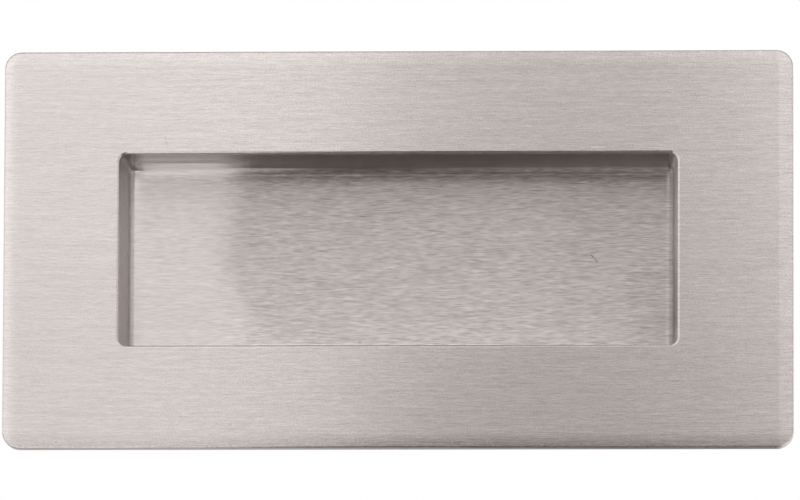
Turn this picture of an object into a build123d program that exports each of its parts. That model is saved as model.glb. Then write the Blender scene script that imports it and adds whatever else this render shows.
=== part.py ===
"""Recessed pull handle in brushed stainless steel, let into a door or a drawer front.

A flange plate has a rectangular window, and a shallow tray welded behind the window takes the
fingers. Two threaded bosses on the back of the flange take screws that come through the door.

Millimetres. Seen from the front, +X is to the right and +Z is up, and +Y points into the door. The
origin is the centre of the flange's back face, in the plane that seats on the door.
"""

import os
from math import asin, cos, degrees

from build123d import *

# Flange plate
plate_width = 120.0
plate_height = 60.7
plate_thickness = 2.5
plate_corner_radius = 2.6

# Outer edge of the brushed face: it rolls off softly, then turns over a small nose into the side
roll_width = 2.2
roll_radius = 20.0
nose_radius = 0.3

# Window in the plate
window_width = 84.8
window_height = 29.3
window_corner_radius = 1.2
window_edge_radius = 0.35

# Tray behind the window
recess_depth = 12.0  # from the front of the plate to the floor that the fingertips meet
wall_draft = 4.0  # degrees by which each wall leans in towards the floor
tray_sheet = 1.0
tray_bend_radius = 0.8  # inside radius where wall meets wall and floor
rebate_depth = 1.0  # the tray's rim seats this deep in the back of the plate
rebate_clearance = 0.02

# Threaded weld bosses, midway across the plate's two side bars
boss_diameter = 7.0
boss_height = 8.0  # above the back of the flange
boss_end_chamfer = 0.5
socket_depth = 0.8  # the foot of a boss seats this deep in the back of the plate
socket_clearance = 0.02
thread_core_radius = 1.65  # tapping hole of an M4 thread
thread_depth = 6.5
thread_lead_in = 0.5

# Planes that the pieces share, by their place along Y
back_y = 0.0
face_y = back_y - plate_thickness
rim_y = back_y - rebate_depth
floor_y = face_y + recess_depth
foot_y = back_y - socket_depth

tray_width = window_width + 2 * tray_sheet
tray_height = window_height + 2 * tray_sheet
tray_outer_bend = tray_bend_radius + tray_sheet
boss_spacing = (plate_width + window_width) / 2


def looking_in(y):
    """Sketch plane parallel to the door at this Y, whose normal points into the door."""
    return Plane((0, y, 0), x_dir=(1, 0, 0), z_dir=(0, 1, 0))


def round_tray_bends(radius):
    """Round the four leaning corners and the edges round the floor of the block being built."""
    corners = edges().filter_by(lambda e: abs(e.tangent_at(0).Y) > 0.5)
    floor_edges = faces().sort_by(Axis.Y)[-1].edges()
    fillet(corners + floor_edges, radius=radius)


os.makedirs("parts", exist_ok=True)

# ---- Face plate: sheet blank, rolled outer edge, window, rebate for the tray, sockets for the bosses
roll_angle = asin((roll_width - nose_radius) / (roll_radius - nose_radius))
nose_depth = roll_radius * (1 - cos(roll_angle)) + nose_radius * cos(roll_angle)
edge_section = Plane((plate_width / 2, face_y, 0), x_dir=(-1, 0, 0), z_dir=(0, 0, -1))

with BuildPart() as face_plate:
    with BuildSketch(looking_in(face_y)):
        RectangleRounded(plate_width, plate_height, plate_corner_radius)
    extrude(amount=plate_thickness)

    outer_edge = faces().sort_by(Axis.Y)[0].outer_wire()
    with BuildSketch(edge_section):
        with BuildLine():
            roll = CenterArc(
                (roll_width, roll_radius), roll_radius, -90, -degrees(roll_angle)
            )
            nose = CenterArc(
                (nose_radius, nose_depth),
                nose_radius,
                -90 - degrees(roll_angle),
                degrees(roll_angle) - 90,
            )
            Polyline(
                nose @ 1,
                (-nose_radius, nose_depth),
                (-nose_radius, -nose_radius),
                (roll_width, -nose_radius),
                roll @ 0,
            )
        make_face()
    sweep(path=outer_edge, mode=Mode.SUBTRACT)

    with BuildSketch(looking_in(face_y)):
        RectangleRounded(window_width, window_height, window_corner_radius)
    extrude(amount=plate_thickness, mode=Mode.SUBTRACT)
    window_edge = faces().sort_by(Axis.Y)[0].inner_wires()[0].edges()
    fillet(window_edge, radius=window_edge_radius)

    with BuildSketch(looking_in(rim_y)):
        RectangleRounded(
            tray_width + 2 * rebate_clearance,
            tray_height + 2 * rebate_clearance,
            tray_outer_bend + rebate_clearance,
        )
    extrude(amount=rebate_depth, mode=Mode.SUBTRACT)

    with BuildSketch(looking_in(foot_y)):
        with GridLocations(boss_spacing, 0, 2, 1):
            Circle(boss_diameter / 2 + socket_clearance)
    extrude(amount=socket_depth, mode=Mode.SUBTRACT)

face_plate.part.label = "face_plate"
export_step(face_plate.part, "parts/face_plate.step")

# ---- Recess tray: sheet with leaning walls and a flat floor, its rim seated behind the window
with BuildPart() as finger_space:
    with BuildSketch(looking_in(rim_y)):
        Rectangle(window_width, window_height)
    extrude(amount=floor_y - rim_y, taper=wall_draft)
    round_tray_bends(tray_bend_radius)

with BuildPart() as recess_tray:
    with BuildSketch(looking_in(rim_y)):
        Rectangle(tray_width, tray_height)
    extrude(amount=floor_y - rim_y + tray_sheet, taper=wall_draft)
    round_tray_bends(tray_outer_bend)
    add(finger_space.part, mode=Mode.SUBTRACT)

recess_tray.part.label = "recess_tray"
export_step(recess_tray.part, "parts/recess_tray.step")

# ---- Threaded bosses: turned blanks tapped from the free end, with their feet in the plate's sockets
for name, side in (("left_boss", -1), ("right_boss", 1)):
    with BuildPart() as boss:
        with BuildSketch(looking_in(foot_y)):
            with Locations((side * boss_spacing / 2, 0)):
                Circle(boss_diameter / 2)
        extrude(amount=socket_depth + boss_height)
        free_end = faces().sort_by(Axis.Y)[-1]
        chamfer(free_end.edges(), length=boss_end_chamfer)
        with Locations(Plane(free_end)):
            CounterSinkHole(
                radius=thread_core_radius,
                counter_sink_radius=thread_core_radius + thread_lead_in,
                depth=thread_depth,
                counter_sink_angle=90,
            )
    boss.part.label = name
    export_step(boss.part, f"parts/{name}.step")
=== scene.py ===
"""Recessed pull handle in brushed stainless steel: its finishes, and the studio that shows them.

Metres. The handle stands as its door holds it: the flange faces -Y, with +X to its right and +Z
up.
"""

import math

import bpy
from mathutils import Matrix, Vector


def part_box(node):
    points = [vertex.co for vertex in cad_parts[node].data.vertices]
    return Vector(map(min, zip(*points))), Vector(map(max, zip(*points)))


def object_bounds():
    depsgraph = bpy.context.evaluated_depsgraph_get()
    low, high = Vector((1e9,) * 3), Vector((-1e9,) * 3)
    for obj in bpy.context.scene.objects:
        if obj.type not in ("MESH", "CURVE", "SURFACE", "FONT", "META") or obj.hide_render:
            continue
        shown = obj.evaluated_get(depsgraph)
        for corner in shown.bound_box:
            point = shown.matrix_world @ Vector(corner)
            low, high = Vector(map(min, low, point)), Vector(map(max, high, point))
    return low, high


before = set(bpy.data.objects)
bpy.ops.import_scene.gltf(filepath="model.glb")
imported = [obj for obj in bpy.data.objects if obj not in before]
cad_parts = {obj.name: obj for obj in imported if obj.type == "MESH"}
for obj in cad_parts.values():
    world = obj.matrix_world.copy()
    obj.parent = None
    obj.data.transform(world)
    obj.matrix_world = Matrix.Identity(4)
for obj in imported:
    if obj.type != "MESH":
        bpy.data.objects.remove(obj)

bl_info = {
    "name": "Recessed Pull Handle",
    "version": (1, 0, 0),
    "blender": (4, 5, 0),
    "location": "View3D > Sidebar > Pull Handle",
    "description": "Finishes a recessed pull handle in brushed steel and sets a studio around it",
    "category": "Object",
}

MM = 0.001
CAD_LOW, CAD_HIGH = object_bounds()
PLATE_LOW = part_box("face_plate")[0]
TRAY_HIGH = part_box("recess_tray")[1]
FACE_CENTRE = Vector((0.0, PLATE_LOW.y, 0.0))

# The flat floor of the tray, inside the bends round it
FLOOR_INSET = 0.00258  # from the outside of the tray's rim to the floor
FLOOR_HALF = Vector((TRAY_HIGH.x - FLOOR_INSET, 0.0, TRAY_HIGH.z - FLOOR_INSET))
FLOOR_EDGE = 0.0004  # how far to either side of its border the floor's finish gives way
FLOOR_LEFT_EDGE = 0.0016  # and how far in, at its left end

# The left end of the window's upper edge and of the wall below it: where it starts and is reached
UPPER_LEFT = (-0.021, -0.029)

# Wear, in millimetres from the middle: across, up, length, degrees and how much lighter it is
FACE_MARKS = (
    (-35.3, 16.6, 2.0, 104.0, -0.16),
    (30.4, 15.5, 2.6, 1.0, 0.3),
    (52.8, -15.1, 2.3, 93.0, -0.14),
    (-25.3, -26.7, 0.3, 0.0, -0.4),
    (-51.8, -29.4, 0.3, 0.0, -0.4),
)
FLOOR_MARKS = (
    (29.2, 0.3, 0.8, -46.0, -0.7),
    (29.8, -0.4, 0.8, -50.0, -0.6),
    (-6.3, -12.8, 0.3, 0.0, -0.6),
)
MARK_WIDTH = 0.12  # half of it, in millimetres

# Cards of the light tent: place, depth along Y, and the turn that stands one up
ROOF_PLACE, ROOF_DEPTH = (0.0, 0.15, 0.45), 1.2
FOOT_PLACE, FOOT_DEPTH = (0.0, 0.22, -0.13), 1.44
LEVEL, UPRIGHT = (0.0, 0.0, 0.0), (math.pi / 2, 0.0, 0.0)

STUDIO_WIDTH = 6.0  # of the floor, each way

# The Mix node's two inputs and its output for each kind of data
MIX_SOCKETS = {"VECTOR": (4, 5, 1), "RGBA": (6, 7, 2)}


# Shader maths


class Value:
    """What a node gives, mostly a number that varies over a surface.

    Its operators add Math nodes to the tree that it is in.
    """

    def __init__(self, nodes, socket):
        self.nodes = nodes
        self.socket = socket

    def maths(self, operation, *values):
        return self.nodes.node("ShaderNodeMath", {"operation": operation}, dict(enumerate(values)))

    def __add__(self, other):
        return self.maths("ADD", self, other)

    def __radd__(self, other):
        return self.maths("ADD", other, self)

    def __sub__(self, other):
        return self.maths("SUBTRACT", self, other)

    def __rsub__(self, other):
        return self.maths("SUBTRACT", other, self)

    def __mul__(self, other):
        return self.maths("MULTIPLY", self, other)

    def __rmul__(self, other):
        return self.maths("MULTIPLY", other, self)

    def __truediv__(self, other):
        return self.maths("DIVIDE", self, other)

    def __pow__(self, other):
        return self.maths("POWER", self, other)

    def __abs__(self):
        return self.maths("ABSOLUTE", self)

    def least(self, other):
        return self.maths("MINIMUM", self, other)

    def most(self, other):
        return self.maths("MAXIMUM", self, other)

    def between(self, low, high):
        """A smooth step: 0 up to low, 1 from high on. With low above high it falls instead."""
        sockets = {"Value": self, "From Min": low, "From Max": high, "To Min": 0.0, "To Max": 1.0}
        return self.nodes.node("ShaderNodeMapRange", {"interpolation_type": "SMOOTHSTEP"}, sockets)


class Nodes:
    """The nodes of a material or a world under construction."""

    def __init__(self, owner, output):
        self.owner = owner
        owner.use_nodes = True
        self.tree = owner.node_tree
        self.tree.nodes.clear()
        self.output = self.tree.nodes.new(output)

    def node(self, kind, settings, sockets, result=0):
        """Adds a node, with its settings first, and gives the result that is asked for."""
        made = self.tree.nodes.new(kind)
        for name, setting in settings.items():
            setattr(made, name, setting)
        for name, value in sockets.items():
            if isinstance(value, Value):
                self.tree.links.new(value.socket, made.inputs[name])
            else:
                made.inputs[name].default_value = value
        return Value(self, made.outputs[result])

    def done(self, shader):
        """Ends with this shader, and gives the material or world."""
        self.tree.links.new(shader.socket, self.output.inputs["Surface"])
        return self.owner


class Finish(Nodes):
    """A node material, with the patterns that more than one finish uses."""

    def __init__(self, name):
        super().__init__(bpy.data.materials.new(name), "ShaderNodeOutputMaterial")
        self.coordinates = self.node("ShaderNodeTexCoord", {}, {}, "Object")
        self.normal = self.node("ShaderNodeTexCoord", {}, {}, "Normal")

    def axes(self, vector, names="XYZ"):
        """The parts of a vector along the axes that are named."""
        return [self.node("ShaderNodeSeparateXYZ", {}, {0: vector}, name) for name in names]

    def noise(self, per_metre, detail=2.0, distortion=0.0, place=(0.0, 0.0, 0.0)):
        """Noise, mostly between -1 and 1, with so many cells to the metre along each axis."""
        cells = self.node(
            "ShaderNodeMapping",
            {"vector_type": "POINT"},
            {"Vector": self.coordinates, "Location": place, "Scale": per_metre},
        )
        sockets = {"Vector": cells, "Scale": 1.0, "Detail": detail, "Distortion": distortion}
        return (self.node("ShaderNodeTexNoise", {}, sockets) - 0.5) * 4.0

    def tint(self, colour, strength):
        """A colour times a strength. Where it darkens, it also warms a little."""
        strengths = (strength, strength ** 1.05, strength ** 1.07)
        if not isinstance(strength, Value):
            return (*(part * share for part, share in zip(colour, strengths)), 1.0)
        if not isinstance(colour, Value):
            colour = tuple(colour)
        shares = self.node("ShaderNodeCombineXYZ", {}, dict(enumerate(strengths)))
        return self.node("ShaderNodeVectorMath", {"operation": "MULTIPLY"}, {0: colour, 1: shares})

    def blend(self, kind, share, first, second):
        """The first vector or colour where share is 0, the second where it is 1."""
        one, other, result = MIX_SOCKETS[kind]
        sockets = {0: share, one: first, other: second}
        return self.node("ShaderNodeMix", {"data_type": kind}, sockets, result)

    def scratch(self, across, up, length, degrees):
        """1 along a short straight mark centred there, fading out at its ends, and 0 elsewhere."""
        x, z = self.axes(self.coordinates, "XZ")
        run, rise = math.cos(math.radians(degrees)), math.sin(math.radians(degrees))
        width = MARK_WIDTH * MM
        along = (x - across) * run + (z - up) * rise
        aside = (z - up) * run - (x - across) * rise
        return abs(along).between(length / 2, length / 4) * abs(aside).between(width, width / 3)

    def marked(self, shade, marks):
        """A shade with the wear that these marks give it."""
        for across, up, length, degrees, lighter in marks:
            shade = shade + self.scratch(across * MM, up * MM, length * MM, degrees) * lighter
        return shade

    def bump(self, height, distance, normal=None):
        """The surface raised by height times distance."""
        sockets = {"Height": height, "Distance": distance, "Strength": 1.0}
        if normal is not None:
            sockets["Normal"] = normal
        return self.node("ShaderNodeBump", {}, sockets)

    def steel(self, colour, roughness, normal, grain=0.0):
        """Bare metal. grain is how much more it blurs across its brushing than along it."""
        sockets = {
            "Base Color": colour,
            "Metallic": 1.0,
            "Roughness": roughness,
            "Normal": normal,
            "Anisotropic": grain,
            "Anisotropic Rotation": 0.25,
        }
        return self.node("ShaderNodeBsdfPrincipled", {}, sockets)

    def mixed(self, share, first, second):
        """The first shader where share is 0, the second where it is 1."""
        return self.node("ShaderNodeMixShader", {}, {0: share, 1: first, 2: second})


# Finishes


def brushed_face(settings):
    """The flange: a long straight grain on the face and the back, plainer edges."""
    finish = Finish("brushed_face")
    x, z = finish.axes(finish.coordinates, "XZ")
    fine = finish.noise((700.0, 700.0, 8500.0), detail=3.0)
    long = finish.noise((150.0, 150.0, 5200.0), place=(7.0, 3.0, 1.0))
    glint = finish.noise((4000.0, 4000.0, 7000.0), detail=0.0, place=(2.0, 2.0, 2.0))
    broad = finish.noise((14.0, 14.0, 60.0), detail=1.0, place=(1.0, 5.0, 9.0))
    grain = fine * 0.48 + long * 0.32 + glint * 0.35

    # The strokes are fainter at the left
    worn = settings.grain_contrast * (0.65 + 0.35 * x.between(-0.05, -0.01))
    shade = finish.marked(1.0 + grain * worn + broad * 0.012, FACE_MARKS)
    normal = finish.bump(grain, settings.grain_depth)
    colour = finish.tint(settings.colour, shade)
    roughness = settings.roughness + grain * 0.02
    brushed = finish.steel(colour, roughness, normal, settings.grain_blur)

    # Painted shade on the window's upper edge, at its left, and not on the flange's outer one
    rim = z.between(0.0, 0.01) * z.between(0.02, 0.018) * x.between(*UPPER_LEFT)
    shaded_edge_colour = finish.tint(settings.edge_colour, shade * (1.0 - settings.rim_painted_shade * rim))
    edge = finish.steel(shaded_edge_colour, settings.roughness + 0.08, normal)

    facing = abs(finish.axes(finish.normal, "Y")[0])
    return finish.done(finish.mixed(facing.between(0.15, 0.4), edge, brushed))


def upper_bend(x, y, z, forward):
    """1 on the tray's upper bend, and at its left on the wall too, which shade as the floor."""
    wall = y.between(0.0015, 0.006) * x.between(*UPPER_LEFT) * forward.between(0.0, 0.05)
    bend = forward.between(0.08, 0.14)
    return z.between(FLOOR_HALF.z - FLOOR_EDGE, FLOOR_HALF.z) * bend.most(wall)


def floor_area(x, z, upper):
    """1 on the tray's floor and on what shades as it does, 0 on the other bends and walls."""
    left = x.between(-FLOOR_HALF.x - FLOOR_EDGE, -FLOOR_HALF.x + FLOOR_LEFT_EDGE)
    right = x.between(FLOOR_HALF.x + FLOOR_EDGE, FLOOR_HALF.x - FLOOR_EDGE)
    level = abs(z).between(FLOOR_HALF.z + FLOOR_EDGE, FLOOR_HALF.z - FLOOR_EDGE)
    return left * right * level.most(upper)


def dished_normal(finish, settings, x, z, inside, upper):
    """The normal of a floor that slopes at both ends, is hollow and rises to the upper bend."""
    # Below the middle both borders lean inward, and above it the left one does too
    high, low = z.most(0.0), z.least(0.0)
    left = (x + low * 0.5 - high * 0.25).between(-0.0325, -0.0245)
    right = (x - low * 0.25).between(0.022, 0.029)
    dish = (x + 0.024).most(0.0)
    across = left * settings.floor_left + right * settings.floor_right - dish * settings.floor_dish

    start = FLOOR_HALF.z - settings.floor_turn
    turn = ((z - start).most(0.0) / settings.floor_turn).least(1.0)
    along = turn * turn * -settings.floor_lift - z * settings.floor_hollow

    slope = finish.node("ShaderNodeCombineXYZ", {}, {0: across * inside, 2: along * inside})
    softened = (upper * inside).between(0.0, 0.05)
    level = finish.blend("VECTOR", softened, finish.normal, (0.0, -1.0, 0.0))
    sloping = finish.node("ShaderNodeVectorMath", {"operation": "ADD"}, {0: level, 1: slope})
    return finish.node("ShaderNodeVectorMath", {"operation": "NORMALIZE"}, {0: sloping})


def recess_shade(settings, x, y, z, sideways, forward):
    """How bright the recess is, as painted shade: darker at its right end, in the corner below and
    at its mouth.
    """
    facing = abs(forward)
    # Painted shade at the right end, more on its bend to the floor
    end = x.between(FLOOR_HALF.x - 0.0001, FLOOR_HALF.x + 0.0002)
    end = end * (settings.end_painted_shade + facing.between(0.6, 0.9) * settings.end_bend_painted_shade)

    # Painted shade in the lower right corner, on the floor and on the end wall
    floor = x.between(0.030, 0.0405) * x.between(FLOOR_HALF.x + 0.0001, FLOOR_HALF.x - 0.0006)
    wall = x.between(FLOOR_HALF.x + 0.0007, FLOOR_HALF.x + 0.0010) * z.between(-0.0122, -0.0105)
    corner = floor * settings.corner_floor_painted_shade + wall * settings.corner_wall_painted_shade
    corner = corner * z.between(0.004, -0.009) * forward.between(0.0, 0.05)

    # Painted shade on the long walls towards the mouth, more at the left
    mouth = y.between(0.006, -0.0005) * facing.between(0.3, 0.15) * abs(sideways).between(0.3, 0.1)
    mouth = mouth * (1.0 + settings.mouth_left_painted_shade * x.between(*UPPER_LEFT))
    return (1.0 - (end + corner)) * (1.0 - settings.mouth_painted_shade * mouth)


def brushed_tray(settings):
    """The tray: shorter, wavier strokes on a floor that is dished a little, and duller drawn walls
    whose darker colour is partly painted shade, with more painted shade in the recess.
    """
    finish = Finish("brushed_tray")
    x, y, z = finish.axes(finish.coordinates)
    sideways, backward = finish.axes(finish.normal, "XY")
    forward = backward * -1.0
    facing = abs(forward)
    fine = finish.noise((550.0, 550.0, 5600.0), distortion=0.25)
    wavy = finish.noise((260.0, 260.0, 2600.0), distortion=0.6, place=(2.0, 8.0, 4.0))
    grain = fine * 0.72 + wavy * 0.28
    drawn = finish.noise((120.0, 5000.0, 5000.0), detail=1.0, place=(4.0, 6.0, 2.0))
    streaks = finish.noise((250.0, 1400.0, 1400.0), place=(3.0, 1.0, 8.0)) * 0.08

    worn = settings.grain_contrast * (0.45 + 0.55 * x.between(-0.032, -0.018))
    strokes = streaks + (grain * worn - streaks) * facing.between(0.3, 0.8)
    shade = finish.marked(1.0 + strokes, FLOOR_MARKS)
    # Painted shade of the recess, at its right end, its lower right corner and its mouth
    shade = shade * recess_shade(settings, x, y, z, sideways, forward)
    # The walls take a darker copy of the steel: partly duller drawn steel, partly painted shade of
    # the recess
    walls, floor = ((*colour, 1.0) for colour in (settings.wall_colour_and_shade, settings.colour))
    colour = finish.tint(finish.blend("RGBA", facing.between(0.3, 0.95), walls, floor), shade)

    upper = upper_bend(x, y, z, forward)
    inside = floor_area(x, z, upper)
    dished = dished_normal(finish, settings, x, z, inside, upper)
    normal = finish.bump(grain, settings.grain_depth, dished)
    roughness = settings.roughness + grain * 0.02
    brushed = finish.steel(colour, roughness, normal, settings.grain_blur)

    ends = abs(sideways).between(0.0, 0.2)
    duller = settings.wall_roughness + ends * (settings.end_roughness - settings.wall_roughness)
    marks = finish.bump(drawn * facing.between(0.97, 0.6), settings.wall_depth)
    plain = finish.steel(colour, duller, marks)
    return finish.done(finish.mixed(inside, plain, brushed))


def turned_boss(settings):
    """The bosses: bar stock with fine turning rings."""
    finish = Finish("turned_boss")
    rings = finish.noise((60.0, 5200.0, 60.0))
    colour = finish.tint(settings.colour, 1.0 + rings * settings.grain_contrast)
    normal = finish.bump(rings, settings.grain_depth)
    return finish.done(finish.steel(colour, settings.roughness + rings * 0.03, normal))


def dress(node, material):
    """Gives a CAD node its finish, in the slots that it has."""
    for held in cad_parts[node].material_slots:
        held.material = material


# Studio


def glow(finish, brightness):
    """Light that a card gives off, for what the metal mirrors."""
    colour = finish.tint((1.0, 1.0, 1.0), brightness)
    return finish.done(finish.node("ShaderNodeEmission", {}, {"Color": colour, "Strength": 1.0}))


def tent_cloth(settings):
    """The tent's front: brighter upward and to both sides, dim where it opens for the lens."""
    finish = Finish("tent_cloth")
    x, z = finish.axes(finish.coordinates, "XZ")
    low = settings.tent_foot + settings.tent_low * z.between(-0.16, 0.0)
    high = settings.tent_high * z.between(-0.02, 0.24) - settings.tent_fade * z.between(0.3, 0.6)

    # The opening: two folds at its left and a soft right side above the handle, wider below it
    folds = 0.8 * x.between(-0.036, -0.022) + 0.2 * x.between(-0.012, 0.002)
    above = folds * x.between(0.095, 0.02) * settings.slit_high
    below = x.between(-0.044, -0.018) * (0.8 + 0.2 * x.between(0.08, 0.02)) * settings.slit_low
    under = z.between(0.01, -0.10)
    slit = above * (1.0 - under) + below * under

    # Brighter cloth beside it: far left, low at the left, a faint fold there, and at the right
    left = 0.32 * x.between(-0.10, -0.24)
    low_left = 0.85 * x.between(-0.055, -0.075) * z.between(-0.10, -0.25)
    fold = 0.05 * x.between(-0.03, -0.05) * x.between(-0.09, -0.07) * z.between(0.04, -0.03)
    right = (0.13 * x.between(0.04, 0.062) - 0.18 * x.between(0.06, 0.10)) * z.between(-0.06, 0.12)

    ends = 1.0 - settings.ends * (x.between(-0.28, -0.45) + x.between(0.24, 0.40))
    return glow(finish, ((low + high) * (1.0 - slit) + left + low_left + fold + right) * ends)


def foot_cloth(settings):
    """The card below: bright at its left, dim under the lens and to the right of it."""
    finish = Finish("tent_foot")
    x, y = finish.axes(finish.coordinates, "XY")
    near = (0.2 + 1.25 * y.between(-0.36, -0.12)) * (0.1 + 0.9 * y.between(-0.06, -0.12))
    left = settings.foot_left * near * x.between(-0.026, -0.045)
    right = settings.foot_right * x.between(0.004, 0.02)
    far = settings.foot_far * x.between(0.06, 0.12)
    below = settings.foot_below * x.between(0.022, -0.004) * y.between(-0.09, -0.04)
    return glow(finish, settings.foot + left + right + far + below)


def hang(name, place, size, turn, material):
    """A card that the metal mirrors. The camera looks past it, and it throws no shadow."""
    bpy.ops.mesh.primitive_plane_add(size=1.0, location=place, rotation=turn)
    made = bpy.context.object
    made.name = name
    made.scale = (*size, 1.0)
    bpy.ops.object.transform_apply(location=True, rotation=True, scale=True)
    made.data.materials.append(material)
    made.visible_camera = False
    made.visible_diffuse = False
    made.visible_shadow = False


def light_tent(settings):
    """A cloth across the front of the handle, a dim roof over it and a card below."""
    across = settings.tent_size
    front = (0.0, -settings.tent_distance, settings.tent_middle)
    hang("tent_front", front, (across, across), UPRIGHT, tent_cloth(settings))
    roof = glow(Finish("tent_roof"), settings.roof)
    hang("tent_roof", ROOF_PLACE, (across, ROOF_DEPTH), LEVEL, roof)
    hang("tent_foot", FOOT_PLACE, (across, FOOT_DEPTH), LEVEL, foot_cloth(settings))


def studio_world(settings):
    """White where it is seen or mirrored, softer where it lights."""
    world = bpy.data.worlds.new("studio_white")
    nodes = Nodes(world, "ShaderNodeOutputWorld")
    rays = ("Is Camera Ray", "Is Glossy Ray", "Is Transmission Ray")
    seen, mirrored, through = (nodes.node("ShaderNodeLightPath", {}, {}, ray) for ray in rays)
    white = seen.most(mirrored).most(through)
    sockets = {
        "Color": (1.0, 1.0, 1.0, 1.0),
        "Strength": settings.ambient + (1.0 - settings.ambient) * white,
    }
    nodes.done(nodes.node("ShaderNodeBackground", {}, sockets))
    world.cycles.sampling_method = "NONE"
    bpy.context.scene.world = world


def studio_floor(settings):
    """A pale floor, well below, because the door holds the handle up."""
    place = (0.0, 0.0, CAD_LOW.z - settings.floor_drop)
    bpy.ops.mesh.primitive_plane_add(size=STUDIO_WIDTH, location=place)
    floor = bpy.context.object
    floor.name = "studio_floor"
    finish = Finish("pale_floor")
    mottle = finish.noise((3.0, 3.0, 3.0))
    colour = finish.tint(settings.floor_colour, 1.0 + mottle * 0.01)
    matt = finish.node("ShaderNodeBsdfPrincipled", {}, {"Base Color": colour, "Roughness": 0.9})
    floor.data.materials.append(finish.done(matt))


def aim(camera, place, target, roll):
    """Puts the camera at a place, looking at a target and leaning by roll."""
    camera.location = place
    looking = (target - place).to_track_quat("-Z", "Y").to_matrix()
    camera.rotation_euler = (looking @ Matrix.Rotation(roll, 3, "Z")).to_euler()


def studio_camera(settings):
    """The camera, a little to the right of the handle and a little below it."""
    lens = bpy.data.cameras.new("camera")
    lens.lens = settings.lens
    lens.clip_start = 0.01
    lens.clip_end = 20.0
    camera = bpy.data.objects.new("camera", lens)
    bpy.context.scene.collection.objects.link(camera)
    level = math.cos(settings.elevation)
    right = math.sin(settings.azimuth) * level
    front = -math.cos(settings.azimuth) * level
    back = Vector((right, front, math.sin(settings.elevation)))
    target = FACE_CENTRE + Vector((settings.aim_right, 0.0, settings.aim_up))
    aim(camera, target + back * settings.distance, target, settings.roll)
    bpy.context.scene.camera = camera


# Settings


def colour_property(name, description, default):
    return bpy.props.FloatVectorProperty(
        name=name,
        description=description,
        default=default,
        subtype="COLOR",
        size=3,
        min=0.0,
        max=1.0,
    )


def share_property(name, description, default):
    return bpy.props.FloatProperty(
        name=name,
        description=description,
        default=default,
        min=0.0,
        max=1.0,
        subtype="FACTOR",
    )


def amount_property(name, description, default, most):
    return bpy.props.FloatProperty(
        name=name,
        description=description,
        default=default,
        min=0.0,
        max=most,
    )


def length_property(name, description, default):
    return bpy.props.FloatProperty(
        name=name,
        description=description,
        default=default,
        unit="LENGTH",
        subtype="DISTANCE",
        precision=6,
    )


def angle_property(name, description, degrees):
    return bpy.props.FloatProperty(
        name=name,
        description=description,
        default=math.radians(degrees),
        unit="ROTATION",
        subtype="ANGLE",
    )


class FaceSettings(bpy.types.PropertyGroup):
    colour: colour_property("Steel", "Colour of the brushed steel", (0.72, 0.66, 0.64))
    edge_colour: colour_property("Edges", "Colour of the cut edges", (0.60, 0.55, 0.53))
    # Painted shade: how much darker the window's upper edge is made at its left
    rim_painted_shade: share_property("Rim", "How much duller the window's upper edge is at its left", 0.42)
    roughness: share_property("Roughness", "Roughness of the brushed face", 0.19)
    grain_blur: share_property("Grain blur", "How much more the face blurs across its grain", 1.0)
    grain_contrast: share_property("Grain contrast", "How the strokes' brightness varies", 0.29)
    grain_depth: length_property("Grain depth", "Depth of the brushed strokes", 0.000002)


class TraySettings(bpy.types.PropertyGroup):
    colour: colour_property("Steel", "Colour of the tray's steel", (0.72, 0.66, 0.64))
    # A darker copy of the steel for the walls: partly duller drawn steel, partly painted shade of
    # the recess
    wall_colour_and_shade: colour_property("Walls", "Colour of the tray's duller walls", (0.59, 0.55, 0.535))
    wall_roughness: share_property("Wall roughness", "Roughness of the long walls", 0.16)
    end_roughness: share_property("End roughness", "Roughness of the tray's two end walls", 0.5)
    wall_depth: length_property("Wall grain depth", "Depth of the drawing marks", 0.000008)
    # Painted shade in the recess: how much darker its mouth, its right end and its lower right
    # corner are made
    mouth_painted_shade: share_property("Mouth", "How much duller the upper wall is at the mouth", 0.4)
    mouth_left_painted_shade: share_property("Mouth left", "How much more so at its left end", 0.6)
    end_painted_shade: share_property("Right end", "How much duller the right end wall is", 0.18)
    end_bend_painted_shade: share_property("Right bend", "How much duller still the bend below it is", 0.22)
    corner_floor_painted_shade: share_property("Floor corner", "How much duller its lower right is", 0.13)
    corner_wall_painted_shade: share_property("Wall corner", "How much duller the wall is there", 0.27)
    floor_left: share_property("Floor left", "Slope that it takes on near its left end", 0.034)
    floor_right: share_property("Floor right", "Slope that it takes on near its right end", 0.014)
    floor_dish: amount_property("Floor dish", "Turn along its length, per metre", 1.15, 5.0)
    floor_hollow: amount_property("Floor hollow", "Turn over its height, per metre", 5.0, 20.0)
    floor_turn: length_property("Floor turn", "How far below the upper bend it turns", 0.0024)
    floor_lift: share_property("Floor lift", "Slope that it takes on at the upper bend", 0.3)
    roughness: share_property("Roughness", "Roughness of the tray's floor", 0.24)
    grain_blur: share_property("Grain blur", "How much more the floor blurs across its grain", 1.0)
    grain_contrast: share_property("Grain contrast", "How the strokes' brightness varies", 0.38)
    grain_depth: length_property("Grain depth", "Depth of the brushed strokes", 0.000004)


class BossSettings(bpy.types.PropertyGroup):
    colour: colour_property("Steel", "Colour of the turned bosses", (0.62, 0.59, 0.57))
    roughness: share_property("Roughness", "Roughness of the turned bosses", 0.32)
    grain_contrast: share_property("Ring contrast", "How the rings' brightness varies", 0.04)
    grain_depth: length_property("Ring depth", "Depth of the turning rings", 0.000003)


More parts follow.
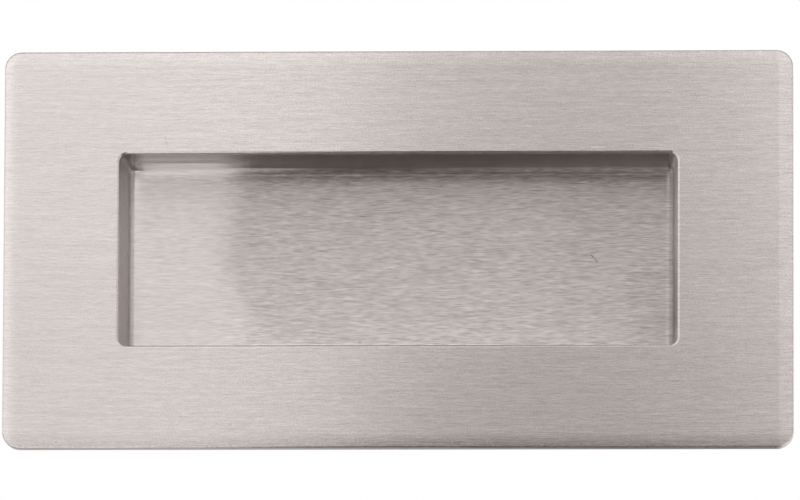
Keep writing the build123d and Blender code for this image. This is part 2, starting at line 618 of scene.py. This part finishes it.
class StudioSettings(bpy.types.PropertyGroup):
    ambient: amount_property("Ambient", "Strength of the white surround where it lights", 0.9, 2.0)
    floor_colour: colour_property("Floor", "Colour of the studio floor", (0.86, 0.86, 0.86))
    floor_drop: length_property("Floor drop", "How far the floor lies below the handle", 0.16)
    tent_distance: length_property("Tent distance", "From the flange to the tent's front", 0.5)
    tent_size: length_property("Tent size", "Width and height of the front of the tent", 4.0)
    tent_middle: length_property("Tent height", "Height of the middle of the tent's front", -0.9)
    tent_foot: amount_property("Tent foot", "Brightness at the foot of the tent", 0.51, 2.0)
    tent_low: amount_property("Tent middle", "How much brighter it is at the handle", 0.32, 2.0)
    tent_high: amount_property("Tent top", "How much brighter it is above the handle", 0.45, 2.0)
    tent_fade: amount_property("Tent fade", "How much dimmer it gets near the roof", 0.7, 2.0)
    slit_high: share_property("Opening above", "How dim the opening is above the handle", 0.27)
    slit_low: share_property("Opening below", "How dim the opening is below the handle", 1.0)
    ends: share_property("Ends", "How dim the tent gets at its two ends", 0.25)
    roof: amount_property("Roof", "Brightness of the tent's roof", 0.6, 2.0)
    foot: amount_property("Foot", "Brightness of the card below the handle", 0.082, 2.0)
    foot_left: amount_property("Foot left", "How much brighter that card is at its left", 1.1, 2.0)
    foot_right: amount_property("Foot right", "How much brighter it is at its right", 0.11, 2.0)
    foot_far: amount_property("Foot far right", "How much brighter it is far right", 0.7, 2.0)
    foot_below: amount_property("Foot below", "How much brighter it is right below", 0.28, 2.0)
    azimuth: angle_property("Azimuth", "How far the camera stands to the right", 2.7)
    elevation: angle_property("Elevation", "How high the camera looks from", -7.2)
    roll: angle_property("Roll", "How far the camera leans", 0.2)
    distance: length_property("Distance", "From the camera to the face", 1.5)
    aim_right: length_property("Aim right", "How far right of the middle it looks", 0.00035)
    aim_up: length_property("Aim up", "How far above the middle it looks", -0.00017)
    lens: bpy.props.FloatProperty(
        name="Lens",
        description="Focal length of the camera",
        default=445.0,
        unit="CAMERA",
    )


# Operators


class FinishPlate(bpy.types.Operator):
    """Brush the face plate along its length"""

    bl_idname = "pull_handle.finish_plate"
    bl_label = "Brush the face plate"

    def execute(self, context):
        dress("face_plate", brushed_face(context.scene.pull_handle_face))
        return {"FINISHED"}


class FinishTray(bpy.types.Operator):
    """Brush the floor of the recess and dull its walls"""

    bl_idname = "pull_handle.finish_tray"
    bl_label = "Brush the recess tray"

    def execute(self, context):
        dress("recess_tray", brushed_tray(context.scene.pull_handle_tray))
        return {"FINISHED"}


class FinishBosses(bpy.types.Operator):
    """Turn the two screw bosses"""

    bl_idname = "pull_handle.finish_bosses"
    bl_label = "Turn the screw bosses"

    def execute(self, context):
        material = turned_boss(context.scene.pull_handle_boss)
        for node in ("left_boss", "right_boss"):
            dress(node, material)
        return {"FINISHED"}


class SetStudio(bpy.types.Operator):
    """Lay the floor, hang the light tent and place the camera"""

    bl_idname = "pull_handle.set_studio"
    bl_label = "Set the studio"

    def execute(self, context):
        settings = context.scene.pull_handle_studio
        context.scene.view_settings.view_transform = "Standard"
        studio_world(settings)
        studio_floor(settings)
        light_tent(settings)
        studio_camera(settings)
        return {"FINISHED"}


class HandlePanel(bpy.types.Panel):
    """Pull handle"""

    bl_label = "Pull Handle"
    bl_idname = "VIEW3D_PT_pull_handle"
    bl_space_type = "VIEW_3D"
    bl_region_type = "UI"
    bl_category = "Pull Handle"

    def draw(self, context):
        for group, operator in STEPS:
            box = self.layout.box()
            settings = getattr(context.scene, group)
            for name in type(settings).__annotations__:
                box.prop(settings, name)
            box.operator(operator.bl_idname)


GROUPS = {
    "pull_handle_face": FaceSettings,
    "pull_handle_tray": TraySettings,
    "pull_handle_boss": BossSettings,
    "pull_handle_studio": StudioSettings,
}
STEPS = (
    ("pull_handle_face", FinishPlate),
    ("pull_handle_tray", FinishTray),
    ("pull_handle_boss", FinishBosses),
    ("pull_handle_studio", SetStudio),
)
CLASSES = (*GROUPS.values(), *(operator for group, operator in STEPS), HandlePanel)


def register():
    for made in CLASSES:
        bpy.utils.register_class(made)
    for name, group in GROUPS.items():
        setattr(bpy.types.Scene, name, bpy.props.PointerProperty(type=group))


def unregister():
    for name in GROUPS:
        delattr(bpy.types.Scene, name)
    for made in reversed(CLASSES):
        bpy.utils.unregister_class(made)


def main():
    register()
    bpy.ops.pull_handle.finish_plate()
    bpy.ops.pull_handle.finish_tray()
    bpy.ops.pull_handle.finish_bosses()
    bpy.ops.pull_handle.set_studio()


if __name__ == "__main__":
    main()
